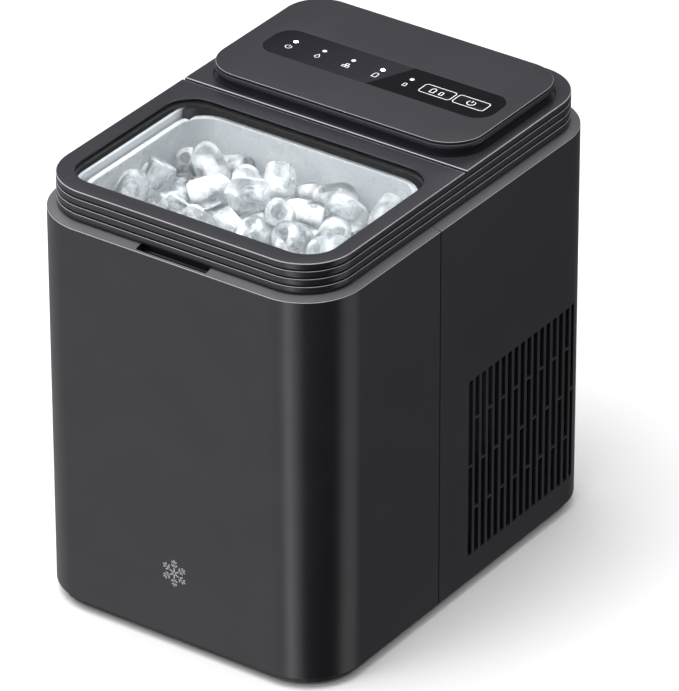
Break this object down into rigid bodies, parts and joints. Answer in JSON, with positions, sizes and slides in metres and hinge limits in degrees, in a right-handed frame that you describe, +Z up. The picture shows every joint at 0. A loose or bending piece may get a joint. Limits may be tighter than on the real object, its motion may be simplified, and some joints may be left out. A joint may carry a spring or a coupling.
{
  "type": "ice maker",
  "caption": "Countertop ice maker with a ribbed windowed lid over a lift-out ice basket, a raised control panel behind it and louvred sides.",
  "frame": {"origin": "centre of the footprint, at the level that the feet stand on", "axes": "+Z up, front of the casing faces -Y, +X to the right seen from the front"},
  "size_m": [0.223, 0.305, 0.3052],
  "materials": {
    "casing": "satin metallic graphite",
    "black_plastic": "fine-grained moulded",
    "panel_gloss": "high gloss",
    "window": "clear acrylic",
    "liner": "satin moulded",
    "basket": "frosted translucent",
    "foam": "expanded foam",
    "rubber": "matt",
    "steel": "zinc plated",
    "nickel": "nickel plated",
    "copper": "drawn copper",
    "black_enamel": "gloss enamel",
    "circuit_board": "solder mask",
    "hose": "milky silicone",
    "lamp_lens": "diffusing lens"
  },
  "bodies": {
    "cabinet": {"base_tray": "black_plastic", "capillary_tube": "copper", "casing_screw_left": "steel", "casing_screw_right": "steel", "compressor": "black_enamel", "compressor_grommet_1": "rubber", "compressor_grommet_2": "rubber", "compressor_grommet_3": "rubber", "condenser": "black_enamel", "condenser_inlet_tube": "copper", "condenser_outlet_tube": "copper", "control_head": "casing", "control_panel": "panel_gloss", "control_plate": "casing", "cord_gland": "rubber", "discharge_tube": "copper", "display_board": "circuit_board", "drain_spout": "black_plastic", "evaporator": "nickel", "fan_motor": "steel", "fan_shroud": "black_plastic", "filter_drier": "copper", "foam_jacket": "foam", "foot_front_left": "rubber", "foot_front_right": "rubber", "foot_rear_left": "rubber", "foot_rear_right": "rubber", "front_shell": "casing", "hinge_pin_left": "steel", "hinge_pin_right": "steel", "hot_gas_tube": "copper", "hot_gas_valve": "nickel", "ice_full_sensor": "black_plastic", "ice_guard": "black_plastic", "indicator_lens_1": "lamp_lens", "indicator_lens_2": "lamp_lens", "indicator_lens_3": "lamp_lens", "indicator_lens_4": "lamp_lens", "indicator_lens_5": "lamp_lens", "inner_tank": "liner", "main_board": "circuit_board", "rear_shell": "casing", "suction_tube": "copper", "top_deck": "black_plastic", "tray_bracket_left": "liner", "tray_bracket_right": "liner", "tray_gearmotor": "steel", "water_hose": "hose", "water_pump": "black_plastic"},
    "lid": {"lid_frame": "casing", "lid_window": "window", "window_retainer": "black_plastic"},
    "basket": {"ice_basket": "basket"},
    "water_tray": {"water_tray": "liner", "tray_motor_shaft": "steel"},
    "ice_shovel": {"ice_shovel": "liner"},
    "fan_rotor": {"fan_blades": "black_plastic"},
    "mode_key": {"mode_button": "panel_gloss"},
    "power_key": {"power_button": "panel_gloss"},
    "drain_plug": {"drain_cap": "rubber"}
  },
  "joints": [
    {"name": "lid_hinge", "type": "hinge", "parent": "cabinet", "child": "lid", "pos_m": [0, 0.00445, 0.2919], "axis": [-1, 0, 0], "range_deg": [0, 90]},
    {"name": "basket_lift", "type": "slide", "parent": "cabinet", "child": "basket", "axis": [0, 0, 1], "range_m": [0, 0.005]},
    {"name": "tray_tilt", "type": "hinge", "parent": "cabinet", "child": "water_tray", "pos_m": [0, 0.05, 0.22185], "axis": [1, 0, 0], "range_deg": [0, 80]},
    {"name": "shovel_swing", "type": "hinge", "parent": "cabinet", "child": "ice_shovel", "pos_m": [0, 0.01, 0.24785], "axis": [1, 0, 0], "range_deg": [-32, 0]},
    {"name": "fan_spin", "type": "hinge", "parent": "cabinet", "child": "fan_rotor", "pos_m": [0.067, 0.0715, 0.088], "axis": [1, 0, 0], "continuous": true},
    {"name": "mode_press", "type": "slide", "parent": "cabinet", "child": "mode_key", "axis": [0, 0, -1], "range_m": [0, 0.0008], "stiffness_N_per_m": 600, "springref_m": -0.0006},
    {"name": "power_press", "type": "slide", "parent": "cabinet", "child": "power_key", "axis": [0, 0, -1], "range_m": [0, 0.0008], "stiffness_N_per_m": 600, "springref_m": -0.0006},
    {"name": "drain_pull", "type": "slide", "parent": "cabinet", "child": "drain_plug", "axis": [-1, 0, 0], "range_m": [0, 0.025]}
  ],
  "couplings": [
    {"joint": "shovel_swing", "follows": "tray_tilt", "ratio": -0.4}
  ]
}
